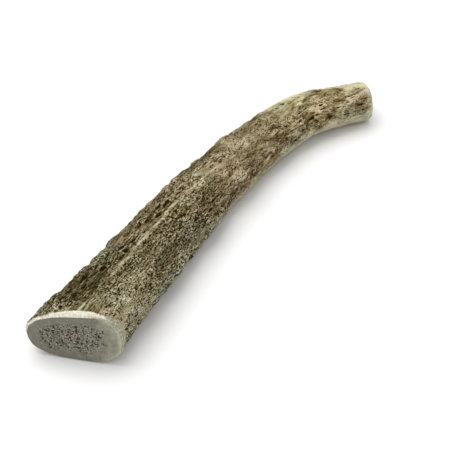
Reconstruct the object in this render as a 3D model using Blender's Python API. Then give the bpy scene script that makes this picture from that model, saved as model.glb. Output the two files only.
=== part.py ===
"""A dog chew sawn from the beam of a fallow deer's antler.

One natural piece, lying on its side: a beam that narrows and bends from the thick end at -X to the
thin end at +X, cut off flat at both ends. Metres, +Z up, resting on Z = 0.
"""

import math

import bmesh
import bpy
from mathutils import Vector, noise

MM = 0.001
NAME = "antler_chew"

# The smooth beam, from the thick end to the thin end. Each station gives, in millimetres, where the middle
# of the beam is (x, y), how broad it is across the bend and how thick from underside to top, and then how
# egg-shaped the upper and the lower half of its section are (0 is even, more tapers towards the +Y side).
STATIONS = (
    (-126.5, -13.5, 38.6, 24.4, 0.24, 0.10),
    (-100.5, -9.9, 37.6, 24.8, 0.24, 0.10),
    (-72.5, -3.4, 33.4, 22.8, 0.15, 0.10),
    (-38.5, 2.9, 31.2, 21.2, 0.08, 0.08),
    (-3.5, 9.9, 28.6, 19.8, 0.05, 0.05),
    (33.5, 13.9, 25.2, 18.4, 0.0, 0.0),
    (66.5, 13.6, 22.4, 17.6, 0.0, 0.0),
    (91.5, 4.1, 19.2, 17.2, 0.0, 0.0),
    (112.5, -8.6, 17.0, 16.8, 0.0, 0.0),
)
STEPS = 40  # straight pieces of the centre line between two stations
SQUARENESS = 2.25  # exponent of the section's superellipse, 2 for a plain ellipse

# The two saw cuts: a point of each (x, y) in millimetres, the heading in degrees that the cut faces, and how
# far its sanded rim draws in, first all round and then more along the top and the +Y side
THICK_CUT = (-99.2, -10.7, 207.0, 0.3, 1.2)
THIN_CUT = (102.2, -4.5, -38.0, 0.8, 0.4)
RIM_DEPTH = 1.0  # how far a sanded rim runs back from the cut, mm
SANDED_SIDE = Vector((0.0, 0.6, 0.8))  # the side of a rim that is sanded most
FULLY_SANDED = 0.8  # how squarely a point of the rim faces that side where the sanding is at its widest

# Swellings and dents of the beam, with the long ridge along its top and the groove beside it: how far along
# the beam and at which angle round it (0 is the -Y side, 90 the top), then the length and breadth to either
# side and the height, in millimetres
SWELLINGS = (
    (18.0, 215.0, 20.0, 9.0, 1.8),
    (43.0, 345.0, 12.0, 9.0, -0.9),
    (74.0, 155.0, 6.0, 6.0, 0.8),
    (90.0, 88.0, 38.0, 2.2, 0.9),
    (90.0, 103.0, 34.0, 2.4, -0.7),
    (92.0, 345.0, 5.0, 8.0, -1.2),
    (94.0, 160.0, 6.0, 6.0, -0.7),
    (105.0, 345.0, 7.0, 8.0, -1.1),
    (136.0, 342.0, 16.0, 10.0, -1.3),
    (138.0, 155.0, 8.0, 7.0, -0.7),
    (208.0, 138.0, 10.0, 7.0, 0.9),
    (230.0, 120.0, 8.0, 8.0, -1.1),
)

# Relief of the bark-like surface: rounded ridges with furrows between them that run along the beam, low
# lumps, and small pearls. Each has the length and breadth of one of them and its height, in millimetres.
FURROW_LENGTH = 26.0
FURROW_BREADTH = 5.5
FURROW_HEIGHT = 2.3
RIDGE_TOP = 0.4  # share of that height where the ridges level off
LUMP_LENGTH = 14.0
LUMP_BREADTH = 9.0
LUMP_HEIGHT = 1.0
LUMP_SHIFT = 40.0  # sets the lumps' pattern apart from the furrows'
PEARL_LENGTH = 8.0
PEARL_BREADTH = 5.5
PEARL_HEIGHT = 0.9
PEARL_SHIFT = 80.0
BARK_MIDDLE = 0.64  # how far the smooth beam lies over the floor of the furrows
PATTERN_RADIUS = 14.0  # the radius at which the pattern's breadths are true to size
SMOOTH_FROM = 140.0  # the surface calms down from here towards the thin end
SMOOTH_TO = 190.0
CALM_LOSS = 0.6  # share of the bark's relief that is gone at the thin end, and on the underside
LUMP_LOSS = 0.5  # share of the lumps that is gone on the underside

RINGS = 80
SIDES = 58
SEAM = 0.000001  # metres within which corners are one
SNAP = 0.0004  # metres within which corners move on to a saw cut

COLOUR = (0.18, 0.145, 0.085, 1.0)
ROUGHNESS = 0.75
SHARP_ANGLE = 50.0  # edges that turn more than this, in degrees, stay sharp


def smoothstep(low, high, value):
    t = min(max((value - low) / (high - low), 0.0), 1.0)
    return t * t * (3.0 - 2.0 * t)


def signed_power(value, exponent):
    return math.copysign(abs(value) ** exponent, value)


def catmull_rom(a, b, c, d, t):
    """A value between b and c, on the curve that also passes through a and d."""
    bend = 2.0 * a - 5.0 * b + 4.0 * c - d
    twist = 3.0 * b - a - 3.0 * c + d
    return 0.5 * (2.0 * b + (c - a) * t + bend * t**2 + twist * t**3)


class Beam:
    """The smooth beam: a curve through the stations, with an egg-shaped section across it."""

    def __init__(self):
        first = [2.0 * a - b for a, b in zip(STATIONS[0], STATIONS[1])]
        last = [2.0 * a - b for a, b in zip(STATIONS[-1], STATIONS[-2])]
        stations = [first, *STATIONS, last]
        self.rows = []
        for group in zip(stations, stations[1:], stations[2:], stations[3:]):
            for step in range(STEPS):
                self.rows.append([catmull_rom(*values, step / STEPS) for values in zip(*group)])
        self.rows.append(list(STATIONS[-1]))
        self.reach = [0.0]
        for here, there in zip(self.rows, self.rows[1:]):
            self.reach.append(self.reach[-1] + math.dist(here[:2], there[:2]))

    def ring(self, along, count):
        """Points and outward directions of the smooth section this far along, with the angle of each."""
        index = 0
        while index < len(self.rows) - 2 and self.reach[index + 1] < along:
            index += 1
        here, there = self.rows[index], self.rows[index + 1]
        t = (along - self.reach[index]) / (self.reach[index + 1] - self.reach[index])
        x, y, breadth, thickness, egg_top, egg_low = (a + (b - a) * t for a, b in zip(here, there))
        heading = math.atan2(there[1] - here[1], there[0] - here[0])
        side = Vector((math.sin(heading), -math.cos(heading), 0.0))
        middle = Vector((x, y, thickness / 2.0))
        for number in range(count):
            angle = math.tau * number / (count - 1)
            across = signed_power(math.cos(angle), 2.0 / SQUARENESS)
            upward = signed_power(math.sin(angle), 2.0 / SQUARENESS)
            upward *= 1.0 + across * (egg_top if upward > 0.0 else egg_low)
            point = middle + side * across * breadth / 2.0
            point.z += upward * thickness / 2.0
            outward = side * math.cos(angle) / breadth
            outward.z = math.sin(angle) / thickness
            yield angle, point, outward.normalized()


def bump(distance, reach):
    return math.exp(-((distance / reach) ** 2))


def swelling(along, angle):
    total = 0.0
    for middle, direction, length, breadth, height in SWELLINGS:
        turn = math.remainder(angle - math.radians(direction), math.tau) * PATTERN_RADIUS
        total += height * bump(along - middle, length) * bump(turn, breadth)
    return total


def relief(along, angle):
    """Height of the bark-like surface over the smooth beam, in millimetres."""
    y = PATTERN_RADIUS * math.cos(angle)
    z = PATTERN_RADIUS * math.sin(angle)
    furrows = noise.noise(Vector((along / FURROW_LENGTH, y / FURROW_BREADTH, z / FURROW_BREADTH)))
    lumps = noise.noise(Vector((along / LUMP_LENGTH, y / LUMP_BREADTH, z / LUMP_BREADTH + LUMP_SHIFT)))
    cell = Vector((along / PEARL_LENGTH, y / PEARL_BREADTH, z / PEARL_BREADTH + PEARL_SHIFT))
    pearls = max(0.0, 1.0 - (2.0 * noise.voronoi(cell)[0][0]) ** 2)
    underside = max(0.0, -math.sin(angle))
    calm = smoothstep(SMOOTH_FROM, SMOOTH_TO, along)
    bark = FURROW_HEIGHT * min(abs(furrows), RIDGE_TOP) + PEARL_HEIGHT * pearls - BARK_MIDDLE
    bark *= (1.0 - CALM_LOSS * calm) * (1.0 - CALM_LOSS * underside)
    return bark + LUMP_HEIGHT * lumps * (1.0 - LUMP_LOSS * underside)


def rolled_beam():
    """The beam before it is sawn: a sheet rolled into a tube, one edge of it meeting the other."""
    beam = Beam()
    mesh = bmesh.new()
    bmesh.ops.create_grid(mesh, x_segments=RINGS - 1, y_segments=SIDES, size=1.0)
    rows = {}
    for vert in mesh.verts:
        rows.setdefault(round((vert.co.x + 1.0) / 2.0 * (RINGS - 1)), []).append(vert)
    for number, verts in rows.items():
        verts.sort(key=lambda vert: vert.co.y)
        along = beam.reach[-1] * number / (RINGS - 1)
        for vert, (angle, point, outward) in zip(verts, beam.ring(along, len(verts))):
            point += outward * (relief(along, angle) + swelling(along, angle))
            vert.co = Vector((point.x, point.y, max(point.z, 0.0))) * MM
    bmesh.ops.remove_doubles(mesh, verts=mesh.verts, dist=SEAM)
    return mesh


def saw(mesh, cut):
    """Cuts the beam off flat, with a sanded rim round the cut."""
    x, y, heading, rim_width, rim_extra = cut
    outward = Vector((math.cos(math.radians(heading)), math.sin(math.radians(heading)), 0.0))
    point = (Vector((x, y, 0.0)) - outward * RIM_DEPTH) * MM
    everything = [*mesh.verts, *mesh.edges, *mesh.faces]
    bmesh.ops.bisect_plane(mesh, geom=everything, dist=SNAP, plane_co=point, plane_no=outward,
                           use_snap_center=True, clear_outer=True)
    rim = [edge for edge in mesh.edges if edge.is_boundary
           and all(abs((vert.co - point).dot(outward)) < SEAM for vert in edge.verts)]
    middle = sum((edge.verts[0].co + edge.verts[1].co for edge in rim), Vector()) / (2 * len(rim))
    made = bmesh.ops.extrude_edge_only(mesh, edges=rim)["geom"]
    for vert in made:
        if isinstance(vert, bmesh.types.BMVert):
            inward = (middle - vert.co).normalized()
            width = rim_width + rim_extra * smoothstep(0.0, FULLY_SANDED, -inward.dot(SANDED_SIDE))
            vert.co += (outward * RIM_DEPTH + inward * width) * MM
    edges = [edge for edge in made if isinstance(edge, bmesh.types.BMEdge) and edge.is_boundary]
    bmesh.ops.contextual_create(mesh, geom=edges)


def antler_material():
    material = bpy.data.materials.new("antler")
    material.use_nodes = True
    shader = material.node_tree.nodes["Principled BSDF"]
    shader.inputs["Base Color"].default_value = COLOUR
    shader.inputs["Roughness"].default_value = ROUGHNESS
    shader.inputs["Metallic"].default_value = 0.0
    return material


def to_origin(mesh):
    """Moves the beam so that the origin is the middle of its box, on the surface it rests on."""
    low = [min(vert.co[axis] for vert in mesh.verts) for axis in range(3)]
    high = [max(vert.co[axis] for vert in mesh.verts) for axis in range(3)]
    middle = Vector(((low[0] + high[0]) / 2.0, (low[1] + high[1]) / 2.0, low[2]))
    bmesh.ops.translate(mesh, verts=mesh.verts, vec=-middle)


def main():
    for thing in list(bpy.data.objects):
        bpy.data.objects.remove(thing)
    mesh = rolled_beam()
    saw(mesh, THICK_CUT)
    saw(mesh, THIN_CUT)
    to_origin(mesh)
    bmesh.ops.recalc_face_normals(mesh, faces=mesh.faces)
    data = bpy.data.meshes.new(NAME)
    mesh.to_mesh(data)
    mesh.free()
    data.shade_smooth()
    data.set_sharp_from_angle(angle=math.radians(SHARP_ANGLE))
    data.materials.append(antler_material())
    collection = bpy.data.collections.new(NAME)
    bpy.context.scene.collection.children.link(collection)
    collection.objects.link(bpy.data.objects.new(NAME, data))


main()
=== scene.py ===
"""The finished look of a fallow deer antler dog chew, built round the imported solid.

One piece of antler lies on a pale floor: a ridged and pitted beam, with a sanded rim and a porous sawn face
at each end. The shape is worked out in millimetres, and goes into the mesh in metres.
"""

import math

import bmesh
import bpy
import numpy as np
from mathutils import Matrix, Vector, noise


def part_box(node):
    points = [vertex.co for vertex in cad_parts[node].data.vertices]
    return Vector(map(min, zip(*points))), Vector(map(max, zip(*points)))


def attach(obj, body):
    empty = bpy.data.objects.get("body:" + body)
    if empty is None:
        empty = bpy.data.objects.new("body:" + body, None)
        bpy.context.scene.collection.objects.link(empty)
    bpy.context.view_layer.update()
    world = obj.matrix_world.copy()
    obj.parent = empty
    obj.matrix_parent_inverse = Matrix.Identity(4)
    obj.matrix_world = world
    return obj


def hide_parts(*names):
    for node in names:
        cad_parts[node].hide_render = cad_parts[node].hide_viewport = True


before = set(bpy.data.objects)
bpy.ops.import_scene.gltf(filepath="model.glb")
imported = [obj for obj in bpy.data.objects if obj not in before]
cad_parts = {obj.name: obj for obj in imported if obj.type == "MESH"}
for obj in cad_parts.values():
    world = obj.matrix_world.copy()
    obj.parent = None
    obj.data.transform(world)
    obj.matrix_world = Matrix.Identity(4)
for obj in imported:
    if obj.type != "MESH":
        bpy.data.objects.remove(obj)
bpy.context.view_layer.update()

bl_info = {
    "name": "Antler Chew",
    "version": (1, 0, 0),
    "blender": (4, 5, 0),
    "location": "View3D > Sidebar > Antler",
    "description": "Builds a weathered antler chew with sawn ends, and the soft studio round it",
    "category": "Add Mesh",
}

MM = 0.001
NODE = "antler_chew"
PIECE = "weathered_antler"
BODY = "root"

# The smooth beam, from the thick end to the thin end: the middle (x, y), the breadth across the bend, the
# thickness, and how egg-shaped the upper and the lower half of the section are. Each stretch is cut into
# steps, and a squareness of 2 would make an ellipse.
STATIONS = (
    (-126.5, -13.5, 38.6, 24.4, 0.24, 0.1),
    (-100.5, -9.9, 37.6, 24.8, 0.24, 0.1),
    (-72.5, -3.4, 33.4, 22.8, 0.15, 0.1),
    (-38.5, 2.9, 31.2, 21.2, 0.08, 0.08),
    (-3.5, 9.9, 28.6, 19.8, 0.05, 0.05),
    (33.5, 13.9, 25.2, 18.4, 0, 0),
    (66.5, 13.6, 22.4, 17.6, 0, 0),
    (91.5, 4.1, 19.2, 17.2, 0, 0),
    (112.5, -8.6, 17, 16.8, 0, 0),
)
STEPS = 40
SQUARENESS = 2.25

# The saw cuts: a point of each, the heading that it faces in degrees, the width of its sanded rim and how
# much wider it is where it is sanded most, how far this sanding runs over the bark, the wall of dense bone
# round the core and how much thicker it is on the -Y side, how far the bark is rubbed off and how much
# further on that side, and how bare of bark the rim is
THICK_CUT = dict(
    place=(-99.2, -10.7), heading=207.0, rim=(0.3, 1.2), run=1.4, wall=(3.6, 3.0), rubbed=(0.3, 3.4),
    bare=1.0)
THIN_CUT = dict(
    place=(102.2, -4.5), heading=-38.0, rim=(0.8, 0.4), run=0.0, wall=(3.4, 0.6), rubbed=(1.2, 0.6),
    bare=0.0)

# How far from its end, and at how many places, the bark is tried to find where it is cut
CUT_SEARCH = 60.0
CUT_SAMPLES = 400

# The sanded rims: their depth, the way that the sander leaned, how near to it they are fully sanded, and the
# angle where its run over the bark is longest, with the spread to either side
RIM_DEPTH = 1.0
SANDED_SIDE = np.array((0.0, 0.6, 0.8))
FULLY_SANDED = 0.8
SANDED_TOP = 78.0
SANDED_SPREAD = (6.0, 10.5)

# The sawn faces: the ragged and soft edge of the core, the reach of the pores and their share of the core,
# how much paler the -Y side and its edge are, and the pink spot
CORE_RAGGED = 2.5
CORE_WAVE = 3.0
CORE_EDGE = (-1.5, 2.5)
PORE_REACH = 0.28
PORE_REACH_SPREAD = 0.14
PORE_SHARE = 0.65
FACE_SIDE_TONE = 0.6
FACE_EDGE_TONE = 0.45
PINK_PLACE = (-0.24, -0.25)
PINK_REACH = (0.08, 0.2)

# Swellings and dents: the place (how far along the beam, the angle round it, where 0 is the -Y side and 90 is
# the top, and the length and breadth to either side), and the height
SWELLINGS = (
    (18, 215, 20, 9, 1.8), (43, 345, 12, 9, -1.2), (74, 155, 6, 6, 0.8), (90, 88, 38, 2.2, 0.9),
    (90, 103, 34, 2.4, -0.7), (90, 343, 6, 8, -1.5), (94, 160, 6, 6, -0.7), (105, 345, 7, 8, -1.1),
    (136, 342, 16, 10, -1.3), (138, 155, 8, 7, -0.7), (206, 318, 14, 9, -0.7), (208, 138, 10, 7, 0.9),
    (230, 120, 8, 8, -1.1),
)

# The patterns of the relief: the length and breadth of each, and what sets it apart from the others
FURROW = (26, 5.5, 0)
LUMP = (14, 9, 40)
PEARL = (8, 5.5, 80)
WAVE = (7, 4, 120)
TURN_WAVE = (7, 4, 140)
GROOVE = (11, 1.8, 160)
GROOVE_PATCH = (22, 9, 200)
LONG_GRAIN = (7, 1.4, 240)
ROUND_GRAIN = (3.6, 2.2, 245)
COARSE_GRAIN = (7, 4, 250)
CALM_PATCH = (14, 6, 255)
FLAKE = (4, 2.6, 260)
FLAKE_PATCH = (4, 2.6, 265)
TINGE = (16, 8, 270)
SHORT_FURROW = (4.2, 2.6, 280)
BAND = (45, 2.8, 300)
LARGE_PIT = (4.6, 2, 320)
SMALL_PIT = (2.4, 1.2, 360)
PIT_PATCH = (24, 10, 400)
CRUMB = (2, 0.85, 440)
MARK_EDGE = (2.4, 1, 460)
PATCH_EDGE = (6, 3, 480)
PATTERN_RADIUS = 14.0

# The broad relief: the heights of its furrows, lumps and pearls, where ridges are cut off, the mean that is
# taken off, and the share that is lost in calm, rubbed and other places
FURROW_HEIGHT = 2.3
LUMP_HEIGHT = 1.0
PEARL_HEIGHT = 0.9
RIDGE_TOP = 0.4
BARK_MIDDLE = 0.64
CALM_LOSS = 0.6
LUMP_LOSS = 0.5
FOOT_LOSS = 0.7
RUBBED_LOSS = 0.6
RUBBED_FINE_LOSS = 0.85
CUT_LOSS = 0.8
CUT_LOSS_REACH = 5.0

# Where along the beam the broad relief grows calm, the grain grows coarse, and the bark grows blotched
CALM = (140.0, 190.0)
COARSE = (98.0, 160.0)
BLOTCHED = (175.0, 200.0)

# Sides of the beam that differ from the rest: the direction, and the reach to either side
LINED_SIDE = (90.0, 9.0)
FURROWED_SIDE = (32.0, 8.0)
RIPPLED_SIDE = (116.0, 8.0)
RED_SIDE = (38.0, 8.0)
GREEN_SIDE = (-25.0, 8.0)

# How far waves shift the fine relief along the beam, and turn it round the beam in radians
WAVE_SHIFT = 0.8
WAVE_TURN = 0.05

# The pits: their reach in a cell and the share of the cells that hold one, and how they crowd in patches
LARGE_PITS = (0.36, 0.38)
SMALL_PITS = (0.4, 0.5)
SMALL_PIT_DEPTH = 0.8
# The pale rim round a small pit is a painted highlight; this is how much of it is kept
SMALL_PIT_LIT_RIM = 0.7
PIT_CROWD = 0.55
PIT_CROWD_SPREAD = 0.7
PIT_CROWD_LOSS = 0.2
LEAST_CROWD = 0.1

# The other marks: half breadths in their patterns, where the grain is evened out and what is left of it,
# heights and depths beside those of the grain and the pits, and ragged edges
GROOVE_WIDTH = 0.15
FLAKE_WIDTH = 0.1
EVEN_FROM = 0.1
EVENED_GRAIN = 0.4
COARSE_LOSS = 0.3
FURROW_DEPTH = 0.7
FLAKE_HEIGHT = 0.6
GROOVE_DEPTH = 0.5
MARK_RAGGED = 0.6
PATCH_RAGGED = 0.7

# How much paler or darker marks make the bark, how much less pale ones do so on the thick half, and what
# changes where the thin end is rubbed. The darkening in pits, grooves and deep marks is partly stain and
# partly painted shade, and the pale rims round pits and lips round deep marks are painted highlights
GRAIN_TONE = 0.26
COARSE_GRAIN_TONE = 0.26
BLOTCH_TONE = 0.15
CRUMB_TONE = 0.15
FLAKE_TONE = 0.12
LIT_RIM_TONE = 0.12
RIPPLE_TONE = 0.3
BAND_TONE = 0.15
COARSE_TONE = 0.2
LIT_LIP_TONE = 0.25
PIT_TONE = 0.9
GROOVE_TONE = 0.25
MARK_TONE = 1.5
COARSE_MARK_LOSS = 0.6
BROAD_TONE = 0.1
PALE_FROM = 0.12
PALE_LOSS = 0.5
BLUNT_TONE = 0.35
BLUNT_LOSS = 0.5

# The long ridge along the top: how far along the beam, the angle, and how clear it is there, then the breadth
# of its crest to either side, its height and tone, and the breadth of its foot
RIDGE_LINE = (
    (38, 83, 0), (52, 85, 0.45), (60, 86, 0.55), (64, 86.5, 0.4), (72, 87.5, 0.6),
    (78, 88, 1), (86, 88.5, 0.9), (93, 89, 1), (100, 90, 0.9), (108, 88.5, 0.9),
    (118, 88, 0.65), (128, 86, 0.5), (142, 81, 0.4), (165, 75, 0),
)
RIDGE_BREADTH = 0.62
RIDGE_HEIGHT = 0.5
RIDGE_TONE = 0.44
RIDGE_FOOT = 3.5

# Deep furrows and holes that stand out: the place, stated in the same way, and the depth
DEEP_MARKS = (
    (30, 113, 2.4, 0.8, 0.6), (36, 125, 2.6, 0.9, 0.7), (42, 128, 2.4, 0.8, 0.6), (39, 111, 2.2, 0.7, 0.5),
    (45, 106, 2.4, 0.8, 0.7), (50, 121, 2.6, 0.8, 0.7), (58, 105, 2.4, 1, 0.9), (56, 116, 2, 0.7, 0.5),
    (66, 116, 2.6, 0.8, 0.6), (71, 96, 2.4, 1, 0.8), (72.5, 106, 2.2, 1, 0.8), (78, 99, 2, 1, 0.7),
    (78, 84, 2.6, 0.5, 0.4), (88, 112, 3.2, 0.8, 0.5), (92, 84.5, 3, 0.5, 0.4), (98, 86, 2, 0.5, 0.5),
    (106.5, 84.5, 2.6, 0.5, 0.4), (98, 99, 2.4, 1.2, 0.9), (104, 114, 2.8, 1.1, 0.8),
    (107, 105, 2.6, 1.2, 0.9), (115, 99, 3.2, 1.2, 0.9), (193, 63, 2.2, 1.1, 0.7), (196.5, 66, 2, 0.9, 0.7),
    (194, 45, 2.6, 1.1, 0.8), (201, 36, 2.6, 1.3, 0.9), (205, 39, 2, 1.1, 0.8), (209, 51, 2.2, 1, 0.7),
    (209, 63, 2.2, 0.9, 0.6), (201, 135, 4, 0.9, 0.6), (219, 123, 3.4, 0.9, 0.6), (221, 111, 3, 0.8, 0.5),
    (225, 57, 2.6, 0.9, 0.6), (229, 30, 3.6, 1, 0.7), (235, 30, 3, 0.9, 0.6),
)

# Patches of the bark that differ from the rest: the place, how much paler (or darker, under 0) they are, and
# how much smoother. Two of them are painted light and shade: the dark one at 45 along and 120 round is
# painted shadow along the silhouette, and the long pale one at 75 along and 6 round is painted light on the
# -Y side
PATCHES = (
    # The first patch is painted shadow along the silhouette
    (45, 120, 14, 9, -0.35, 0), (70, 108, 12, 4, -0.1, 0), (84, 120, 28, 8, 0, 0.3),
    (90, 92, 34, 3, -0.1, 0), (118, 118, 16, 6, 0.1, 0), (108, 76, 14, 4, -0.1, 0),
    (144, 128, 16, 5, -0.42, 0), (38, 86, 14, 5, -0.25, 0), (34, 50, 16, 14, 0.36, 0),
    (31, 115, 5, 5, 0.16, 0), (50, 38, 30, 12, -0.05, 0.2), (44, 54, 30, 18, -0.04, 0.45),
    (56, 50, 14, 3.5, 0.34, 0), (72, 26, 20, 5, -0.15, 0), (98, 100, 14, 4, -0.12, 0),
    # The long patch at 75 along and 6 round is painted light on the -Y side, turned from the lamp
    (80, 46, 9, 4, -0.12, 0), (75, 6, 50, 7, 0.17, 0), (74, 32, 4, 5, 0.2, 0), (116, 30, 5, 8, -0.1, 0),
    (116, 86, 14, 1.5, 0.2, 0), (72, 102, 6, 5, -0.15, 0), (105, 92, 5, 3, -0.12, 0),
    (126, 52, 8, 5, -0.22, 0), (142, 52, 8, 4, -0.1, 0), (138, 30, 8, 4, 0.37, 0),
    (144, 8, 16, 4, -0.25, 0), (160, 52, 12, 5, -0.22, 0), (166, 30, 6, 4, 0.32, 0),
    (176, 96, 11, 8, -0.25, 0), (178, 38, 14, 8, -0.15, 0), (178, 68, 8, 5, 0.15, 0),
    (160, 85, 26, 9, 0, 0.3), (192, 70, 8, 4, 0.35, 0), (192, 92, 7, 3.5, 0.15, 0.4),
    (200, 126, 12, 7, 0.52, 0.4), (201, 30, 8, 4, -0.13, 0), (206, 66, 6, 6, 0.25, 0),
    (206, 94, 6, 6, -0.24, 0), (226, 88, 6, 6, -0.72, 0), (205, 78, 4, 5, 0.15, 0),
    (215, 68, 5, 6, -0.08, 0), (206, 118, 6, 5, 0.2, 0), (224, 34, 14, 5, -0.2, 0), (226, 68, 6, 5, 0.5, 0),
    (214, 36, 6, 9, 0.16, 0), (205, 8, 6, 4, -0.15, 0), (86, 8, 6, 4, 0.26, 0), (195, 110, 6, 4, -0.12, 0),
    (86, 130, 8, 3, -0.25, 0), (115, 132, 6, 3, -0.2, 0), (46, 108, 5, 4, -0.22, 0),
    (232, 112, 9, 7, 1.05, 0.4), (172, 132, 14, 5, -0.12, 0), (95, 132, 14, 4, -0.1, 0),
    (185, 10, 8, 5, 0.15, 0), (35, 132, 6, 5, -0.14, 0), (55, 10, 8, 5, 0.14, 0),
    (160, 336, 40, 4, 0.2, 0.8), (220, 335, 30, 7, 0.25, 0.8),
)

# The bark's tinge, from greenish grey under 0 to reddish tan over 0: how far along the beam, and the tinge,
# then how far it wavers, what two sides add to it, and the least of it
TINGES = (
    (20, -0.7), (45, -1), (70, -1.4), (100, -0.9), (125, 0.5), (150, 0.9), (180, 0.5),
    (195, -0.2), (215, 0.9), (230, 0.2),
)
TINGE_WAVE = 2.2
SIDE_TINGE = 1.2
UNDER_TINGE = -1.3
LEAST_TINGE = -1.9

# Spots of another tinge: the place, how much redder (or greener, under 0) they are, and how much creamier
TINGE_SPOTS = (
    (33, 98, 6, 7, -1.5, 0), (34, 52, 9, 6, 1, 0), (68, 124, 10, 6, -0.8, 0), (77, 45, 7, 4, -2.2, 0),
    (86, 117, 8, 5, 0.8, 0), (98, 112, 26, 9, 0.8, 0.2), (107, 5, 7, 5, -1.4, 0), (178, 129, 6, 4, -2.4, 0),
    (196, 100, 14, 10, -0.6, 1), (205, 45, 12, 7, 0.8, 0.5), (216, 15, 7, 7, -1.8, 0),
    (218, 85, 10, 9, 0.6, 0.6), (230, 115, 10, 8, -0.6, 0.6),
)

# How many times a height is evened out to find how far places stand out, and how much paler a millimetre of
# that is: paler on high places as wear, and darker in hollows, partly as painted shade
WEAR_AND_SHADE_REACH = 8
WEAR_AND_SHADE_TONE = 0.4

# How many rows of corners cross each stretch of the sheet that is rolled into the antler, how many corners go
# round it, and how much closer together they are on top
THICK_FACE_ROWS = 66
THIN_FACE_ROWS = 16
RIM_ROWS = 4
BEAM_ROWS = 386
SIDES = 210
CROWDING = 0.4

# Corners closer together than this, in metres, become one, and the floor stops the antler this softly
SEAM = 0.000001
FLOOR_SOFTNESS = 0.35

# The patterns of the bark's finish: their length and breadth, and the layers of finer detail on most
STREAK = (7.0, 0.55, 2.0)
SPECK = (1.1, 0.5, 2.0)
HOLE = (1.3, 0.7, 1.0)
CREASE = (5.5, 1.2, 1.0)
CREASE_PATCH = (4.0, 1.6, 0.0)
DOT = (1.3, 0.85)
GRIT = 0.9

# The middle tone of the bark, and the tones of its colours from its hollows to its palest places
MIDDLE_TONE = 0.587
BARK_STOPS = (0.08, 0.3, 0.5, 0.7, 0.95)

# Colours that multiply others
PLAIN = (1.0, 1.0, 1.0)
GREENER = (0.89, 1.0, 1.09)
REDDER = (1.07, 0.97, 0.95)
CREAMY = (1.02, 1.0, 0.84)
DULL_GRIT = (0.75, 0.75, 0.73)
BRIGHT_GRIT = (1.15, 1.15, 1.15)
BONE_GRIT = (1.05, 1.05, 1.05)
BONE_CHIP = (1.9, 1.85, 1.75)
PINK = (1.25, 0.95, 0.95)
PINKISH = (1.03, 0.99, 0.98)
GREENISH = (0.98, 1.0, 0.95)

# The patterns of a sawn face: their size, for the streaks their height too, and the layers of finer detail
MOTTLE = (2.5, 3.0)
WEB = (0.55, 1.0)
CLOUD = (7.0, 1.0)
SAW_GRIT = (0.7, 1.0)
SAW_STREAK = (0.9, 9.0, 1.0)

# How bright the palest bone is, and the web of walls in the core: where each step is, and how bright it is
PALEST_BONE = 1.4
WEB_STOPS = ((0.33, 0.25), (0.44, 0.88), (0.56, 1.1), (0.66, 2.2))

# The small pores that are only painted on, dark as painted shade in place of real holes: the size of their
# cells, their reach and how rare they are, then how sharp their edge is, and how much a cell's draw and the
# core add
PAINTED_PORES = ((1.5, 7.9, 11.6), (0.9, 8.2, 9.2))
PORE_EDGE = -22.0
PORE_DRAW = 9.0
PORE_IN_CORE = 5.0


def smoothstep(low, high, value):
    t = np.clip((value - low) / (high - low), 0.0, 1.0)
    return t * t * (3.0 - 2.0 * t)


def signed_power(value, exponent):
    return np.copysign(np.abs(value) ** exponent, value)


def bump(distance, reach):
    return np.exp(-((distance / reach) ** 2))


def turned(angle, direction):
    """How far an angle is round the beam from a direction in degrees, in millimetres."""
    turn = angle - np.radians(direction)
    return (np.mod(turn + math.pi, math.tau) - math.pi) * PATTERN_RADIUS


def side_angles():
    """The angles of the sheet's lines along the beam, closer together on top than underneath."""
    turn = np.linspace(0.0, math.tau, SIDES + 1)
    return turn + CROWDING * (np.cos(turn) - 1.0)


class Beam:
    """The smooth beam: a curve through the stations, with an egg-shaped section across it."""

    def __init__(self):
        stations = np.array(STATIONS)
        first = 2.0 * stations[0] - stations[1]
        last = 2.0 * stations[-1] - stations[-2]
        stations = np.vstack((first, stations, last))
        rows = []
        for a, b, c, d in zip(stations, stations[1:], stations[2:], stations[3:]):
            for t in np.arange(STEPS) / STEPS:
                bend = 2.0 * a - 5.0 * b + 4.0 * c - d
                twist = 3.0 * b - a - 3.0 * c + d
                rows.append(0.5 * (2.0 * b + (c - a) * t + bend * t**2 + twist * t**3))
        rows.append(stations[-2])
        self.rows = np.array(rows)
        strides = np.diff(self.rows[:, :2], axis=0)
        self.reach = np.concatenate(([0.0], np.cumsum(np.hypot(strides[:, 0], strides[:, 1]))))
        self.middles = (self.reach[1:] + self.reach[:-1]) / 2.0
        self.headings = np.arctan2(strides[:, 1], strides[:, 0])

    def surface(self, along, angle):
        """Points of the smooth beam, and the directions that face outwards there."""
        columns = (np.interp(along, self.reach, column) for column in self.rows.T)
        x, y, breadth, thickness, egg_top, egg_low = columns
        heading = np.interp(along, self.middles, self.headings)
        side = np.stack((np.sin(heading), -np.cos(heading), np.zeros_like(heading)), axis=-1)
        across = signed_power(np.cos(angle), 2.0 / SQUARENESS)
        upward = signed_power(np.sin(angle), 2.0 / SQUARENESS)
        upward = upward * (1.0 + across * np.where(upward > 0.0, egg_top, egg_low))
        point = np.stack((x, y, thickness / 2.0 * (1.0 + upward)), axis=-1)
        point += side * (across * breadth / 2.0)[..., None]
        outward = side * (np.cos(angle) / breadth)[..., None]
        outward[..., 2] = np.sin(angle) / thickness
        return point, outward / np.linalg.norm(outward, axis=-1, keepdims=True)


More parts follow.
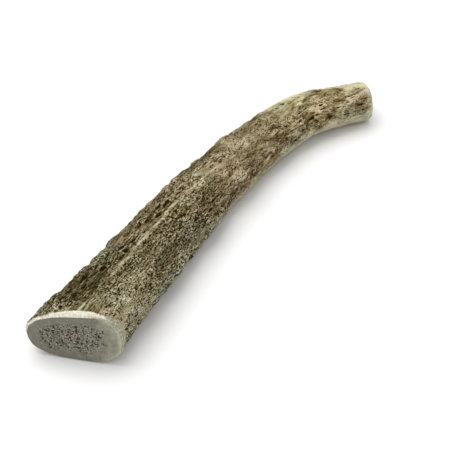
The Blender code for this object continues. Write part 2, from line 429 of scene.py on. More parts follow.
class Cut:
    """A saw cut: a flat face with a porous core, and the sanded rim between it and the bark."""

    def __init__(self, place, heading, rim, run, wall, rubbed, bare):
        turn = math.radians(heading)
        self.outward = np.array((math.cos(turn), math.sin(turn), 0.0))
        self.bark_edge = np.array((*place, 0.0)) - self.outward * RIM_DEPTH
        self.rim, self.run, self.wall, self.rubbed, self.rim_bare = rim, run, wall, rubbed, bare

    def beyond(self, point):
        """How far points lie past the edge of the bark."""
        return (point - self.bark_edge) @ self.outward

    def meets(self, beam, angle, nearest, furthest):
        """How far along the beam each angle's line comes to the edge of the bark."""
        along = np.linspace(nearest, furthest, CUT_SAMPLES)
        where = []
        for turn in angle:
            point, _ = beam.surface(along, np.full_like(along, turn))
            beyond = self.beyond(point)
            order = np.argsort(beyond)
            where.append(np.interp(0.0, beyond[order], along[order]))
        return np.array(where)

    def bare(self, point, angle):
        """How far the bark is rubbed off, from 0 to 1."""
        width = self.rubbed[0] + self.rubbed[1] * smoothstep(0.3, 1.0, np.cos(angle))
        return 1.0 - smoothstep(0.5 * width, 1.3 * width, -self.beyond(point))

    def planed(self, point, angle):
        """How deep the sander has planed the bark, and where it has, from 0 to 1."""
        aside = turned(angle, SANDED_TOP)
        run = self.run * bump(aside, np.where(aside < 0.0, *SANDED_SPREAD))
        back = run + self.beyond(point)
        depth = np.maximum(0.0, back) / (RIM_DEPTH + run) * (self.rim[0] + self.rim[1])
        return depth, smoothstep(-0.1, 0.25, back) * smoothstep(0.2, 0.6, run)

    def face_edge(self, ring):
        """The edge of the sawn face, drawn in from the ring where the bark ends, and how sanded it is."""
        inward = ring[:-1].mean(axis=0) - ring
        inward /= np.linalg.norm(inward, axis=-1, keepdims=True)
        sanded = smoothstep(0.0, FULLY_SANDED, -inward @ SANDED_SIDE)
        width = self.rim[0] + self.rim[1] * sanded
        return ring + self.outward * RIM_DEPTH + inward * width[:, None], sanded * self.rim_bare


def places_on(along, angle, size):
    """Where each place of the beam lies in a pattern whose marks have this length and breadth."""
    length, breadth, shift = size
    radius = PATTERN_RADIUS / breadth
    x = (along / length).ravel()
    y = (np.cos(angle) * radius).ravel()
    z = (np.sin(angle) * radius).ravel() + shift
    return (Vector(place) for place in zip(x, y, z))


def waves(along, angle, size, layers=1):
    """Smooth noise over the beam, about from -1 to 1, with any finer layers of it on top."""
    values = (noise.fractal(place, 1.0, 2.1, layers) for place in places_on(along, angle, size))
    return np.fromiter(values, float, along.size).reshape(along.shape)


def cells(places, shape):
    """The way to the middle of each place's cell, and the cell's own draw between 0 and 1."""
    found = []
    for place in places:
        distances, middles = noise.voronoi(place)
        found.append((distances[0], 0.5 + 0.5 * noise.cell(middles[0])))
    return np.array(found).T.reshape(2, *shape)


def beam_cells(along, angle, size):
    return cells(places_on(along, angle, size), along.shape)


def on_side(angle, side):
    """How near angles are to a side of the beam, from 0 to 1."""
    direction, reach = side
    return bump(turned(angle, direction), reach)


def spot(along, angle, middle, direction, length, breadth):
    """How near places are to the middle of a soft spot, from 0 to 1."""
    return bump(along - middle, length) * bump(turned(angle, direction), breadth)


def oval(along, angle, middle, direction, length, breadth):
    """How far places are from the middle of an oval, counted in its own reach."""
    return np.hypot((along - middle) / length, turned(angle, direction) / breadth)


def swelling(along, angle):
    total = np.zeros_like(along)
    for *place, height in SWELLINGS:
        total += height * spot(along, angle, *place)
    return total


def broad_relief(along, angle):
    """Height of the bark's furrows, lumps and pearls over the smooth beam."""
    furrows = waves(along, angle, FURROW)
    lumps = waves(along, angle, LUMP)
    near, _ = beam_cells(along, angle, PEARL)
    pearls = np.maximum(0.0, 1.0 - (2.0 * near) ** 2)
    underside = np.maximum(0.0, -np.sin(angle))
    calm = smoothstep(*CALM, along)
    bark = FURROW_HEIGHT * np.minimum(np.abs(furrows), RIDGE_TOP) + PEARL_HEIGHT * pearls - BARK_MIDDLE
    bark *= (1.0 - CALM_LOSS * calm) * (1.0 - CALM_LOSS * underside)
    return bark + LUMP_HEIGHT * lumps * (1.0 - LUMP_LOSS * underside)


def pits(along, angle, size, reach, share, crowd):
    """Rounded pits of one size in a share of the cells, from 0 outside them to 1 inside, and their rims, a
    painted highlight.
    """
    near, draw = beam_cells(along, angle, size)
    share = share * crowd
    inside = 1.0 - near / (reach * (0.7 + 0.6 * draw / np.maximum(share, 0.05)))
    there = smoothstep(0.0, 0.1, share - draw)
    return smoothstep(0.0, 0.4, inside) * there, bump(inside + 0.15, 0.2) * there


def patches(along, angle):
    """How much paler and how much smoother the bark is than elsewhere."""
    pale = np.zeros_like(along)
    rough = np.ones_like(along)
    ragged = PATCH_RAGGED * waves(along, angle, PATCH_EDGE)
    for *place, paler, smoother in PATCHES:
        patch = 1.0 - smoothstep(0.5, 1.4, oval(along, angle, *place) + ragged)
        pale += paler * patch
        rough *= 1.0 - smoother * patch
    return pale, rough


def long_ridge(along, angle, breadth):
    """How far up the side of the long ridge a place is, from 0 to 1."""
    line_along, line_angle, clear = np.array(RIDGE_LINE).T
    crest = bump(turned(angle, np.interp(along, line_along, line_angle)), breadth)
    return crest * np.interp(along, line_along, clear)


def deep_marks(along, angle):
    """Depth in millimetres of the furrows and holes that stand out, and the pale lips round them, painted
    highlights.
    """
    marks = np.zeros_like(along)
    lit_lips = np.zeros_like(along)
    ragged = MARK_RAGGED * waves(along, angle, MARK_EDGE, 2)
    for *place, depth in DEEP_MARKS:
        reach = oval(along, angle, *place) + ragged
        marks = np.maximum(marks, depth * (1.0 - smoothstep(0.4, 0.85, reach)))
        # The pale lip round each mark is a painted highlight, standing in for its lit wall
        lit_lips = np.maximum(lit_lips, depth * bump(reach - 1.15, 0.22))
    return marks, lit_lips * (1.0 - smoothstep(0.0, 0.3, marks))


def wear_and_shade_relief(height):
    """How far places stand out from what lies round them, in millimetres."""
    mean = height
    for _ in range(WEAR_AND_SHADE_REACH):
        rows = np.pad(mean, ((1, 1), (0, 0)), mode="edge")
        mean = (rows[:-2] + 2.0 * mean + rows[2:]) / 4.0
        turns = np.concatenate((mean[:, -2:-1], mean, mean[:, 1:2]), axis=1)
        mean = (turns[:, :-2] + 2.0 * mean + turns[:, 2:]) / 4.0
    return height - mean


def tinges(along, angle):
    """The bark's tinge, from greenish grey under 0 to reddish tan over 0, and how creamy it is."""
    red = np.interp(along, *np.array(TINGES).T) + TINGE_WAVE * waves(along, angle, TINGE, 3)
    under = UNDER_TINGE * (0.4 + 0.6 * smoothstep(*COARSE, along))
    red += SIDE_TINGE * on_side(angle, RED_SIDE) + under * on_side(angle, GREEN_SIDE)
    red = np.maximum(red, LEAST_TINGE)
    cream = np.zeros_like(along)
    for *place, redder, creamier in TINGE_SPOTS:
        near = spot(along, angle, *place)
        red += redder * near
        cream += creamier * near
    return red, cream


def fine_bark(along, angle, shape):
    """The bark's fine relief in millimetres, its tone from dark to pale, and how rough and lined it is."""
    underside = np.maximum(0.0, -np.sin(angle))
    coarse = smoothstep(*COARSE, along)
    fine = 1.0 - coarse
    blotched = smoothstep(*BLOTCHED, along)
    pale, rough = patches(along, angle)
    crest = long_ridge(along, angle, RIDGE_BREADTH)
    rough *= (1.0 - 0.3 * underside) * (1.0 - 0.7 * crest)
    lined = fine * on_side(angle, LINED_SIDE)

    wavy_along = along + WAVE_SHIFT * waves(along, angle, WAVE)
    wavy_angle = angle + WAVE_TURN * waves(along, angle, TURN_WAVE)
    wavy = (wavy_along, wavy_angle)
    crowd = PIT_CROWD + PIT_CROWD_SPREAD * waves(along, angle, PIT_PATCH) - PIT_CROWD_LOSS * coarse
    crowd = np.clip(crowd, LEAST_CROWD, 1.0)
    large, large_lit_rim = pits(*wavy, LARGE_PIT, *LARGE_PITS, crowd)
    small, small_lit_rim = pits(*wavy, SMALL_PIT, *SMALL_PITS, crowd)
    pit = np.maximum(large, SMALL_PIT_DEPTH * small) * rough
    # The pale rims round pits are painted highlights, standing in for their lit walls
    rim = np.maximum(large_lit_rim, SMALL_PIT_LIT_RIM * small_lit_rim) * (1.0 - pit) * rough

    where = smoothstep(-0.3, 0.3, waves(along, angle, GROOVE_PATCH))
    groove = np.clip(1.0 - np.abs(waves(along, wavy_angle, GROOVE)) / GROOVE_WIDTH, 0.0, 1.0)
    groove *= where * rough * fine

    fine_grain = waves(*wavy, LONG_GRAIN, 3) * lined + waves(*wavy, ROUND_GRAIN, 3) * (1.0 - lined)
    fine_grain = np.minimum(fine_grain, EVEN_FROM + EVENED_GRAIN * fine_grain)
    furrow = smoothstep(0.15, 0.4, waves(*wavy, SHORT_FURROW, 2))
    furrow *= coarse * (0.3 + 0.7 * on_side(angle, FURROWED_SIDE))
    grain = fine_grain * fine + waves(*wavy, COARSE_GRAIN, 3) * coarse - FURROW_DEPTH * furrow
    grain *= rough
    flake = np.clip(1.0 - np.abs(waves(*wavy, FLAKE)) / FLAKE_WIDTH, 0.0, 1.0)
    flake *= smoothstep(0.0, 0.2, waves(along, angle, FLAKE_PATCH)) * rough
    ripple = flake * on_side(angle, RIPPLED_SIDE) * fine
    crumb = waves(along, angle, CRUMB) * rough
    marks, lit_lips = deep_marks(wavy_along, angle)

    height = shape.grain_height / MM * ((1.0 - COARSE_LOSS * coarse) * grain + FLAKE_HEIGHT * flake)
    height += shape.crumb_height / MM * crumb + RIDGE_HEIGHT * crest
    height -= shape.pit_depth / MM * np.maximum(pit, GROOVE_DEPTH * groove) + marks

    # The tone: darker in pits, grooves and deep marks, partly as stain and partly as painted shade
    tone = (GRAIN_TONE + COARSE_GRAIN_TONE * coarse + BLOTCH_TONE * blotched) * grain
    tone += CRUMB_TONE * crumb + FLAKE_TONE * flake + LIT_RIM_TONE * rim + RIPPLE_TONE * ripple
    # Paler where the relief stands out, as wear, and darker in its hollows, partly as painted shade
    tone += BAND_TONE * lined * waves(along, angle, BAND) + WEAR_AND_SHADE_TONE * wear_and_shade_relief(height)
    tone -= PALE_LOSS * fine * np.maximum(0.0, tone - PALE_FROM)
    tone += COARSE_TONE * coarse + pale + RIDGE_TONE * crest + LIT_LIP_TONE * lit_lips
    tone -= PIT_TONE * pit + GROOVE_TONE * groove + (MARK_TONE - COARSE_MARK_LOSS * coarse) * marks

    rough = (0.3 + 0.7 * rough) * (1.0 - 0.6 * crest) * (1.0 - 0.3 * lined)
    rough *= (1.0 - 0.6 * coarse - 0.1 * blotched) * (0.85 + 0.8 * waves(along, angle, CALM_PATCH, 2))
    return height, tone, rough, lined


class AntlerShape(bpy.types.PropertyGroup):
    """Sizes of the antler's fine relief."""

    pit_depth: bpy.props.FloatProperty(
        name="Pit Depth", description="How deep the pits of the bark are",
        default=0.8 * MM, min=0.0, unit="LENGTH", precision=5)
    grain_height: bpy.props.FloatProperty(
        name="Grain Height", description="How far the small grains of the bark stand up",
        default=0.6 * MM, min=0.0, unit="LENGTH", precision=5)
    crumb_height: bpy.props.FloatProperty(
        name="Crumb Height", description="Height of the finest roughness that is modelled",
        default=0.18 * MM, min=0.0, unit="LENGTH", precision=5)
    pore_spacing: bpy.props.FloatProperty(
        name="Pore Spacing", description="Distance between the pores of a sawn face",
        default=1.4 * MM, min=0.0002, unit="LENGTH", precision=5)
    pore_depth: bpy.props.FloatProperty(
        name="Pore Depth", description="How deep the pores of a sawn face are",
        default=0.6 * MM, min=0.0, unit="LENGTH", precision=5)


class AntlerColours(bpy.types.PropertyGroup):
    """Colours of the bark and of the bone that the saw and the sander lay bare."""

    # Hollows: the bottoms of pits, part stain and part painted shade, and the pores of a sawn face, painted
    # shade
    hollow: bpy.props.FloatVectorProperty(
        name="Hollows", description="The bark at the bottom of its pits",
        default=(0.014, 0.008, 0.0005), subtype="COLOR", min=0.0, max=1.0)
    dark: bpy.props.FloatVectorProperty(
        name="Dark Bark", description="The bark in its furrows",
        default=(0.054, 0.035, 0.003), subtype="COLOR", min=0.0, max=1.0)
    middle: bpy.props.FloatVectorProperty(
        name="Bark", description="The bark between furrows and ridges",
        default=(0.147, 0.113, 0.049), subtype="COLOR", min=0.0, max=1.0)
    light: bpy.props.FloatVectorProperty(
        name="Light Bark", description="The rubbed tops of the bark",
        default=(0.303, 0.257, 0.152), subtype="COLOR", min=0.0, max=1.0)
    pale: bpy.props.FloatVectorProperty(
        name="Pale Bark", description="The palest places of the bark",
        default=(0.585, 0.545, 0.378), subtype="COLOR", min=0.0, max=1.0)
    bone: bpy.props.FloatVectorProperty(
        name="Dense Bone", description="The dense wall of a sawn face",
        default=(0.325, 0.313, 0.235), subtype="COLOR", min=0.0, max=1.0)
    core: bpy.props.FloatVectorProperty(
        name="Porous Core", description="The middle of a sawn face",
        default=(0.166, 0.159, 0.125), subtype="COLOR", min=0.0, max=1.0)
    sanded: bpy.props.FloatVectorProperty(
        name="Sanded Rim", description="The sanded edge of a sawn face",
        default=(0.735, 0.690, 0.575), subtype="COLOR", min=0.0, max=1.0)


class StudioSettings(bpy.types.PropertyGroup):
    """The floor, the light and the view."""

    floor_size: bpy.props.FloatProperty(
        name="Floor Size", description="Length of each side of the floor",
        default=6.0, min=0.5, unit="LENGTH")
    floor_colour: bpy.props.FloatVectorProperty(
        name="Floor", description="Colour of the floor",
        default=(0.9, 0.9, 0.9), subtype="COLOR", min=0.0, max=1.0)
    sky_strength: bpy.props.FloatProperty(
        name="Sky Strength", description="Strength of the even light from all round",
        default=0.8, min=0.0)
    lamp_power: bpy.props.FloatProperty(
        name="Lamp Power", description="Power of the large soft lamp overhead",
        default=12.0, min=0.0, unit="POWER")
    lamp_size: bpy.props.FloatProperty(
        name="Lamp Size", description="Length of each side of the lamp",
        default=1.2, min=0.01, unit="LENGTH")
    lamp_place: bpy.props.FloatVectorProperty(
        name="Lamp Place", description="Where the lamp hangs",
        default=(0.0, 0.45, 1.3), subtype="XYZ", unit="LENGTH")
    aim: bpy.props.FloatVectorProperty(
        name="Aim", description="The point that the camera looks at",
        default=(-0.0086, -0.0119, 0.0090), subtype="XYZ", unit="LENGTH", precision=5)
    heading: bpy.props.FloatProperty(
        name="Heading", description="Which way the camera looks, round from +X",
        default=math.radians(39.2), subtype="ANGLE")
    elevation: bpy.props.FloatProperty(
        name="Elevation", description="How far the camera stands above the horizon",
        default=math.radians(40.0), subtype="ANGLE")
    distance: bpy.props.FloatProperty(
        name="Distance", description="How far the camera is from the point that it looks at",
        default=0.7, min=0.05, unit="LENGTH")
    lens: bpy.props.FloatProperty(
        name="Lens", description="Focal length in millimetres of the camera's lens",
        default=132.08, min=10.0, unit="CAMERA")


def times(colour, factor):
    return tuple(part * factor for part in colour)


class Finish:
    """A material, with short ways to add the nodes of its pattern."""

    def __init__(self, name):
        self.material = bpy.data.materials.new(name)
        self.material.use_nodes = True
        self.tree = self.material.node_tree
        self.surface = self.tree.nodes["Principled BSDF"]

    def feed(self, socket, source):
        """Gives a socket a number, a colour or the output of another node."""
        if isinstance(source, bpy.types.NodeSocket):
            self.tree.links.new(source, socket)
        else:
            socket.default_value = (*source, 1.0) if socket.type == "RGBA" else source

    def set(self, **sources):
        """Feeds sockets of the surface shader."""
        for name, source in sources.items():
            self.feed(self.surface.inputs[name.replace("_", " ")], source)

    def node(self, kind, **sources):
        """Adds a node, and feeds its sockets."""
        node = self.tree.nodes.new(f"ShaderNode{kind}")
        for name, source in sources.items():
            self.feed(node.inputs[name], source)
        return node

    def attribute(self, name, output="Fac"):
        node = self.node("Attribute")
        node.attribute_name = name
        return node.outputs[output]

    def stretched(self, place, scale):
        return self.node("Mapping", Vector=place, Scale=scale).outputs["Vector"]

    def beam_place(self, length, breadth):
        """A place on the beam, counted in marks of this length and breadth in millimetres."""
        scale = (1.0 / length, 1.0 / breadth, 1.0 / breadth)
        return self.stretched(self.attribute("beam", "Vector"), scale)

    def object_place(self, size, height=None):
        """A place in the object, counted in marks of this size and height in millimetres."""
        count = 1.0 / (size * MM)
        upward = 1.0 / ((height or size) * MM)
        return self.stretched(self.node("TexCoord").outputs["Object"], (count, count, upward))

    def noise(self, place, detail):
        return self.node("TexNoise", Vector=place, Scale=1.0, Detail=detail).outputs["Fac"]

    def cells(self, place):
        """The way to the middle of the cell of a place, and the cell's own draw between 0 and 1."""
        cell = self.node("TexVoronoi", Vector=place, Scale=1.0).outputs
        return cell["Distance"], self.node("SeparateColor", Color=cell["Color"]).outputs["Red"]

    def math(self, operation, *sources):
        node = self.node("Math")
        node.operation = operation
        for socket, source in zip(node.inputs, sources):
            self.feed(socket, source)
        return node.outputs["Value"]

    def product(self, first, second):
        return self.math("MULTIPLY", first, second)

    def total(self, start, *parts):
        """A number plus any count of (output, weight) pairs."""
        for source, weight in parts:
            start = self.math("MULTIPLY_ADD", source, weight, start)
        return start

    def clamped(self, value):
        """A number kept between 0 and 1."""
        return self.node("Clamp", Value=value).outputs["Result"]

    def fade(self, value, full, none):
        """A number that goes from 1 where a value is at the full mark to 0 where it is at the other."""
        rise = 1.0 / (full - none)
        return self.clamped(self.total(-none * rise, (value, rise)))

    def aside(self, value, middle):
        """How far a value is from a middle, to either side."""
        return self.math("ABSOLUTE", self.total(-middle, (value, 1.0)))

    def ramp(self, value, *stops):
        node = self.node("ValToRGB", Fac=value)
        elements = node.color_ramp.elements
        while len(elements) < len(stops):
            elements.new(1.0)
        for element, (position, colour) in zip(elements, stops):
            element.position = position
            element.color = (*colour, 1.0)
        return node.outputs["Color"]

    def mix(self, factor, first, second, blend="MIX"):
        node = self.node("Mix")
        node.data_type = "RGBA"
        node.blend_type = blend
        self.feed(node.inputs["Factor"], factor)
        for name, source in (("A", first), ("B", second)):
            self.feed(next(s for s in node.inputs if s.name == name and s.type == "RGBA"), source)
        return next(s for s in node.outputs if s.type == "RGBA")

    def bump(self, height, distance):
        node = self.node("Bump", Height=height, Distance=distance * MM)
        self.set(Normal=node.outputs["Normal"])


def bark_finish(colours):
    """Brown-grey bark: dark in pits, part stain and part painted shade, rubbed lighter on ridges, streaked
    along the beam.
    """
    finish = Finish("antler_bark")
    total, product, fade = finish.total, finish.product, finish.fade
    rough = finish.attribute("rough")
    lines, specks, holes, creases, where = (
        finish.noise(finish.beam_place(*size), detail)
        for *size, detail in (STREAK, SPECK, HOLE, CREASE, CREASE_PATCH))
    near, draw = finish.cells(finish.beam_place(*DOT))

    streak = product(total(-0.5, (lines, 1.0)), total(0.35, (finish.attribute("lined"), 0.9)))
    speck = total(-0.5, (specks, 1.0))
    # Dark specks stand out more than light ones
    sharp = finish.math("MAXIMUM", total(0.8, (speck, -6.0)), 0.3)
    speckle = product(product(speck, sharp), rough)
    # Holes, darkened partly as stain and partly as painted shade
    hole = product(fade(holes, full=0.37, none=0.39), rough)

    # Small dots: dark ones, each with a thin pale ring painted as a highlight, and sparse pale ones that
    # stand in partly for glints, as painted highlight
    dot = fade(near, full=0.26, none=0.36)
    ring = fade(finish.aside(near, 0.47), full=0.0, none=1.0 / 9.0)
    light = product(dot, fade(draw, full=0.2, none=0.3))
    dark = product(total(0.0, (dot, -1.3), (ring, 0.2)), fade(draw, full=0.7, none=0.6))
    dots = product(total(0.0, (light, 0.42), (dark, 1.0)), rough)

    # Creases, darkened partly as stain and partly as painted shade, with pale lips beside them that the bump
    # raises and that are painted lighter as a highlight
    creased = product(fade(where, full=0.58, none=0.48), rough)
    beside = finish.aside(creases, 0.5)
    crease = product(fade(beside, full=0.0075, none=0.0325), creased)
    lip = product(fade(finish.aside(beside, 0.055), full=0.0, none=0.02), creased)

    tone = total(
        MIDDLE_TONE, (finish.attribute("tone"), 0.5), (streak, 0.9), (speckle, 3.6), (hole, -1.1),
        (dots, 1.0), (crease, -0.25), (lip, 0.15))
    shades = (colours.hollow, colours.dark, colours.middle, colours.light, colours.pale)
    bark = finish.ramp(tone, *zip(BARK_STOPS, shades))
    tinge = total(0.5, (finish.attribute("tinge"), 0.25))
    tint = finish.ramp(tinge, (0.0, GREENER), (0.5, PLAIN), (1.0, REDDER))
    bark = finish.mix(1.0, bark, tint, "MULTIPLY")
    bark = finish.mix(finish.attribute("cream"), bark, CREAMY, "MULTIPLY")

    grit = finish.noise(finish.object_place(GRIT), detail=2.0)
    chips = finish.ramp(grit, (0.3, DULL_GRIT), (0.56, BONE_GRIT), (0.64, BONE_CHIP))
    chipped = finish.mix(1.0, chips, colours.bone, "MULTIPLY")
    dust = finish.ramp(grit, (0.3, DULL_GRIT), (0.65, BRIGHT_GRIT))
    sanded = finish.mix(1.0, dust, colours.sanded, "MULTIPLY")
    bone = finish.mix(finish.attribute("sanded"), chipped, sanded)
    rubbed = finish.math("SUBTRACT", total(0.35, (finish.attribute("bare"), 1.3)), specks)
    finish.set(
        Base_Color=finish.mix(rubbed, bark, bone), Roughness=total(0.8, (tone, -0.3)),
        Specular_IOR_Level=0.08)
    finish.bump(total(0.0, (specks, 0.6), (lines, 0.2), (hole, -0.5), (crease, -0.6), (lip, 0.3)), 0.4)
    return finish.material


def sawn_finish(colours):
    """Bone as the saw leaves it: a dense wall round a grey core that is full of pores, dark with painted
    shade.
    """
    finish = Finish("sawn_antler")
    total = finish.total
    core = finish.attribute("core")
    mottle, web, cloud, grit, streaks = (
        finish.noise(finish.object_place(*size), detail)
        for *size, detail in (MOTTLE, WEB, CLOUD, SAW_GRIT, SAW_STREAK))
    tone = total(
        -1.35, (mottle, 0.9), (cloud, 0.7), (grit, 0.6), (streaks, 0.4), (finish.attribute("tone"), 0.9))
    dense = finish.ramp(
        tone, (0.0, colours.core), (0.62, colours.bone), (1.0, times(colours.bone, PALEST_BONE)))
    porous = finish.ramp(web, *((stop, times(colours.core, bright)) for stop, bright in WEB_STOPS))
    face = finish.mix(core, dense, porous)
    tinge = total(0.0, (cloud, 1.0), (finish.attribute("tinge"), -0.3))
    tint = finish.ramp(tinge, (0.0, PINK), (0.35, PINKISH), (0.5, PLAIN), (0.65, GREENISH))
    face = finish.mix(core, face, finish.mix(1.0, face, tint, "MULTIPLY"))

    # Pores, dark with the hollow colour as painted shade: the modelled dents get it too, and the rest are
    # only painted
    pore = finish.clamped(total(-0.6, (finish.attribute("pore"), 1.6)))
    for size, reach, rarity in PAINTED_PORES:
        near, draw = finish.cells(finish.object_place(size))
        inside = finish.clamped(total(reach, (near, PORE_EDGE)))
        there = finish.clamped(total(-rarity, (draw, PORE_DRAW), (core, PORE_IN_CORE)))
        pore = finish.math("MAXIMUM", pore, finish.product(inside, there))
    finish.set(
        Base_Color=finish.mix(pore, face, colours.hollow), Roughness=total(0.5, (web, 0.3)),
        Specular_IOR_Level=0.3)
    finish.bump(total(0.0, (web, 0.6), (mottle, 0.4)), 0.12)
    return finish.material


def plain_finish(name, colour, roughness):
    finish = Finish(name)
    finish.set(Base_Color=colour, Roughness=roughness)
    return finish.material


def placed(context, name, mesh, *materials):
    """Puts a mesh into the scene as an object."""
    data = bpy.data.meshes.new(name)
    mesh.to_mesh(data)
    mesh.free()
    for material in materials:
        data.materials.append(material)
    piece = bpy.data.objects.new(name, data)
    context.scene.collection.objects.link(piece)
    return piece


def bark_strip(beam, angle, thick, thin, shape):
    """The rows of corners of the beam between its two cuts."""
    start = thick.meets(beam, angle, 0.0, CUT_SEARCH)
    end = thin.meets(beam, angle, beam.reach[-1] - CUT_SEARCH, beam.reach[-1])
    along = start + (end - start) * np.linspace(0.0, 1.0, BEAM_ROWS)[:, None]
    angle = np.broadcast_to(angle, along.shape)
    point, outward = beam.surface(along, angle)
    planed, sanded = thick.planed(point, angle)
    bare = np.maximum(thick.bare(point, angle), sanded)
    blunt = thin.bare(point, angle)
    smooth = np.maximum(bare, blunt)
    broad = broad_relief(along, angle) * (1.0 - FOOT_LOSS * long_ridge(along, angle, RIDGE_FOOT))
    fine, tone, rough, lined = fine_bark(along, angle, shape)
    level = CUT_LOSS * bump(thick.beyond(point), CUT_LOSS_REACH)
    height = swelling(along, angle) + broad * (1.0 - np.maximum(level, RUBBED_LOSS * smooth))
    height += fine * (1.0 - RUBBED_FINE_LOSS * smooth) - planed
    point = point + outward * height[..., None]
    point[..., 2] = FLOOR_SOFTNESS * np.logaddexp(0.0, point[..., 2] / FLOOR_SOFTNESS)
    for cut, row in ((thick, 0), (thin, -1)):
        point[row] -= cut.beyond(point[row])[:, None] * cut.outward
    tone = tone + BROAD_TONE * broad + (BLUNT_TONE - BLUNT_LOSS * tone) * blunt
    red, cream = tinges(along, angle)
    return {"place": point, "along": along, "bare": bare, "sanded": sanded, "tone": tone,
            "rough": rough * (1.0 - 0.6 * blunt), "lined": lined, "tinge": red, "cream": cream}


def rim_strip(cut, bark, row):
    """The rows of corners of a sanded rim, from the sawn face to the bark."""
    bark_edge = bark["place"][row]
    face_edge, sanded = cut.face_edge(bark_edge)
    out = np.linspace(0.0, 1.0, RIM_ROWS + 2)[1:-1, None, None]
    place = face_edge + (bark_edge - face_edge) * out
    along = bark["along"][row] + (-RIM_DEPTH if row == 0 else RIM_DEPTH) * (1.0 - out[..., 0])
    bare = np.maximum(bark["bare"][row], cut.rim_bare) * np.ones_like(along)
    return {"place": place, "along": along, "bare": bare, "tone": bark["tone"][row],
            "sanded": np.broadcast_to(sanded, place.shape[:2])}


def face_strip(cut, bark_edge, angle, along, rows, shape):
    """The rows of corners of a sawn face, from its middle out to its edge."""
    edge, _ = cut.face_edge(bark_edge)
    middle = edge[:-1].mean(axis=0)
    out = np.linspace(0.0, 1.0, rows)[:, None]
    place = middle + (edge - middle) * out[..., None]
    size = place.shape[:2]
    inside = (1.0 - out) * np.linalg.norm(edge - middle, axis=-1)
    wall = cut.wall[0] + cut.wall[1] * smoothstep(-0.2, 1.0, np.cos(angle))
    corners = [Vector(corner) for corner in place.reshape(-1, 3)]
    ragged = np.array([noise.noise(corner / CORE_WAVE) for corner in corners]).reshape(size)
    core = smoothstep(*CORE_EDGE, inside - wall + CORE_RAGGED * ragged)
    spacing = shape.pore_spacing / MM
    near, draw = cells((corner / spacing for corner in corners), size)
    pore = smoothstep(0.0, 0.35, 1.0 - near / (PORE_REACH + PORE_REACH_SPREAD * draw))
    pore *= draw > 1.0 - PORE_SHARE * core
    place = place - cut.outward * (pore * shape.pore_depth / MM)[..., None]
    aside, up = out * np.cos(angle), out * np.sin(angle)
    tone = FACE_EDGE_TONE * smoothstep(0.88, 0.99, out) * smoothstep(0.3, 0.8, aside)
    tone += FACE_SIDE_TONE * smoothstep(0.0, 1.0, aside)
    pink = bump(aside - PINK_PLACE[0], PINK_REACH[0]) * bump(up - PINK_PLACE[1], PINK_REACH[1])
    return {"place": place, "along": np.broadcast_to(along, size), "core": core, "pore": pore,
            "tone": tone, "tinge": pink, "sawn": 1.0}


def flipped(strip):
    return {name: np.flipud(value) if np.ndim(value) else value for name, value in strip.items()}


def joined(strips, name):
    """One quantity over all the rows of the sheet, 0 where a strip doesn't state it."""
    return np.concatenate([
        np.broadcast_to(strip.get(name, 0.0), strip["place"].shape[:2]) for strip in strips])


class ANTLER_OT_build_chew(bpy.types.Operator):
    """Build the antler: one sheet rolled into a tube, whose ends are drawn together over the sawn faces"""

    bl_idname = "antler.build_chew"
    bl_label = "Antler"

    def execute(self, context):
        shape, colours = context.scene.antler_shape, context.scene.antler_colours
        mesh = bmesh.new()
        self.roll_sheet(mesh, self.strips(shape))
        self.settle(mesh)
        piece = placed(context, PIECE, mesh, bark_finish(colours), sawn_finish(colours))
        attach(piece, BODY)
        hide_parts(NODE)
        return {"FINISHED"}

    def strips(self, shape):
        """The strips of the sheet, from the middle of the thick face to the middle of the thin one."""
        angle = side_angles()
        thick = Cut(**THICK_CUT)
        thin = Cut(**THIN_CUT)
        bark = bark_strip(Beam(), angle, thick, thin, shape)
        ends = []
        for cut, row, rows in ((thick, 0, THICK_FACE_ROWS), (thin, -1, THIN_FACE_ROWS)):
            edge, along = bark["place"][row], bark["along"][row]
            ends.append((face_strip(cut, edge, angle, along, rows, shape), rim_strip(cut, bark, row)))
        return [*ends[0], bark, flipped(ends[1][1]), flipped(ends[1][0])]

    def roll_sheet(self, mesh, strips):
        """Rolls a flat grid up into the antler, with what its finish needs to know kept on its corners."""
        place = np.concatenate([strip["place"] for strip in strips])
        rows = len(place)
        bmesh.ops.create_grid(mesh, x_segments=rows - 1, y_segments=SIDES, size=1.0)
        flat = np.array([vert.co[:2] for vert in mesh.verts]) / 2.0 + 0.5
        row = np.rint(flat[:, 0] * (rows - 1)).astype(int)
        side = np.rint(flat[:, 1] * SIDES).astype(int)
        for name in ("tone", "tinge", "cream", "rough", "lined", "bare", "core", "pore", "sanded"):
            layer = mesh.verts.layers.float.new(name)
            for vert, value in zip(mesh.verts, joined(strips, name)[row, side]):
                vert[layer] = value
        turn = side_angles()[side]
        along = joined(strips, "along")[row, side]
        beam_place = np.stack((along, PATTERN_RADIUS * np.cos(turn), PATTERN_RADIUS * np.sin(turn)), axis=-1)
        layer = mesh.verts.layers.float_vector.new("beam")
        for vert, corner, pattern_corner in zip(mesh.verts, place[row, side], beam_place):
            vert.co = corner * MM
            vert[layer] = pattern_corner
        sawn = joined(strips, "sawn")[row, side]
        for face in mesh.faces:
            face.material_index = int(any(sawn[vert.index] for vert in face.verts))
            face.smooth = True
        bmesh.ops.remove_doubles(mesh, verts=mesh.verts, dist=SEAM)
        bmesh.ops.recalc_face_normals(mesh, faces=mesh.faces)

    def settle(self, mesh):
        """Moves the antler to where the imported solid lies."""
        cad_low, cad_high = (np.array(corner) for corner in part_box(NODE))
        spots = np.array([vert.co[:] for vert in mesh.verts])
        low, high = spots.min(axis=0), spots.max(axis=0)
        shift = (cad_low + cad_high - low - high) / 2.0
        shift[2] = cad_low[2] - low[2]
        bmesh.ops.translate(mesh, verts=mesh.verts, vec=Vector(shift))


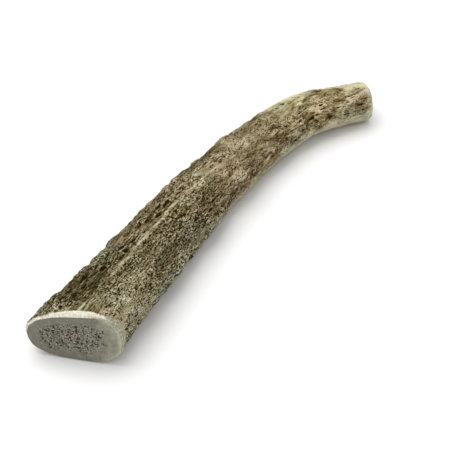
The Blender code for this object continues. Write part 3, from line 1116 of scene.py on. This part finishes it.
class ANTLER_OT_build_stage(bpy.types.Operator):
    """Build the pale floor, the soft light and the camera"""

    bl_idname = "antler.build_stage"
    bl_label = "Stage"

    def execute(self, context):
        studio = context.scene.antler_studio
        self.build_floor(context, studio)
        self.build_light(context, studio)
        self.build_camera(context, studio)
        context.scene.view_settings.view_transform = "Standard"
        return {"FINISHED"}

    def build_floor(self, context, studio):
        mesh = bmesh.new()
        bmesh.ops.create_grid(mesh, x_segments=1, y_segments=1, size=studio.floor_size / 2.0)
        finish = plain_finish("pale_floor", studio.floor_colour, roughness=0.9)
        floor = placed(context, "floor", mesh, finish)

    def build_light(self, context, studio):
        world = bpy.data.worlds.new("studio")
        world.use_nodes = True
        sky = world.node_tree.nodes["Background"]
        sky.inputs["Color"].default_value = (1.0, 1.0, 1.0, 1.0)
        sky.inputs["Strength"].default_value = studio.sky_strength
        context.scene.world = world
        lamp = bpy.data.lights.new("overhead_lamp", "AREA")
        lamp.shape = "SQUARE"
        lamp.size = studio.lamp_size
        lamp.energy = studio.lamp_power
        holder = bpy.data.objects.new("overhead_lamp", lamp)
        holder.location = studio.lamp_place
        holder.rotation_euler = (-holder.location).to_track_quat("-Z", "Y").to_euler()
        context.scene.collection.objects.link(holder)

    def build_camera(self, context, studio):
        level = math.cos(studio.elevation)
        look = Vector((
            math.cos(studio.heading) * level, math.sin(studio.heading) * level, -math.sin(studio.elevation)))
        data = bpy.data.cameras.new("camera")
        data.lens = studio.lens
        data.sensor_width = 36.0
        data.clip_start = 0.01
        camera = bpy.data.objects.new("camera", data)
        camera.location = Vector(studio.aim) - look * studio.distance
        camera.rotation_euler = look.to_track_quat("-Z", "Y").to_euler()
        context.scene.collection.objects.link(camera)
        context.scene.camera = camera


class ANTLER_PT_sidebar(bpy.types.Panel):
    """Lists the settings and the steps of the build"""

    bl_idname = "ANTLER_PT_sidebar"
    bl_label = "Antler Chew"
    bl_space_type = "VIEW_3D"
    bl_region_type = "UI"
    bl_category = "Antler"

    def draw(self, context):
        for name, group in GROUPS.items():
            box = self.layout.box()
            for setting in group.__annotations__:
                box.prop(getattr(context.scene, name), setting)
        for operator in OPERATORS:
            self.layout.operator(operator.bl_idname)


GROUPS = {
    "antler_shape": AntlerShape,
    "antler_colours": AntlerColours,
    "antler_studio": StudioSettings,
}
OPERATORS = (ANTLER_OT_build_chew, ANTLER_OT_build_stage)


def register():
    for name, group in GROUPS.items():
        bpy.utils.register_class(group)
        setattr(bpy.types.Scene, name, bpy.props.PointerProperty(type=group))
    for operator in OPERATORS:
        bpy.utils.register_class(operator)
    bpy.utils.register_class(ANTLER_PT_sidebar)


def unregister():
    bpy.utils.unregister_class(ANTLER_PT_sidebar)
    for operator in reversed(OPERATORS):
        bpy.utils.unregister_class(operator)
    for name, group in reversed(GROUPS.items()):
        delattr(bpy.types.Scene, name)
        bpy.utils.unregister_class(group)


def main():
    register()
    bpy.ops.antler.build_chew()
    bpy.ops.antler.build_stage()


if __name__ == "__main__":
    main()
